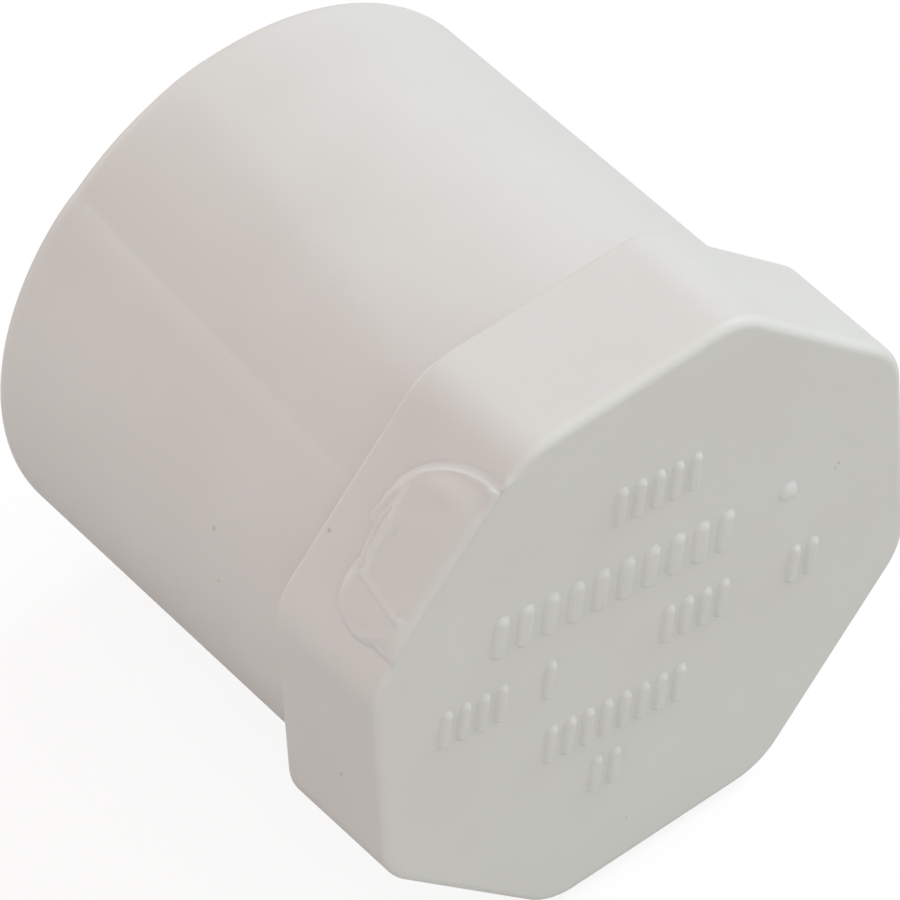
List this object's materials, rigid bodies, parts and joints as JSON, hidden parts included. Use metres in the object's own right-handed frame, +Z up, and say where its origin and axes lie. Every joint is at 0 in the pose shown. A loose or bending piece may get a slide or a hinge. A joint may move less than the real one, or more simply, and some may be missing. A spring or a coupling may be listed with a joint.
{
  "type": "pipe plug",
  "caption": "White PVC spigot plug: a hollow round spigot closed by an eight-sided head, which caps off a solvent-cement pipe socket.",
  "frame": {"origin": "on the axis, in the plane of the shoulder where the spigot meets the head", "axes": "+Y along the axis out of the open end, the head's face looks along -Y, +Z up with the part lying on one flat of its head"},
  "size_m": [0.0282, 0.0274, 0.0282],
  "materials": {
    "spigot": "satin white PVC, as moulded",
    "head": "satin white PVC, as moulded",
    "gate_vestige": "broken white PVC, slightly rough",
    "raised_marks": "satin white PVC, as moulded"
  },
  "bodies": {
    "root": {"spigot": "spigot", "head": "head", "gate_vestige": "gate_vestige", "size_mark": "raised_marks", "name_mark": "raised_marks", "grade_mark": "raised_marks", "approval_mark": "raised_marks", "cavity_mark": "raised_marks"}
  },
  "joints": []
}
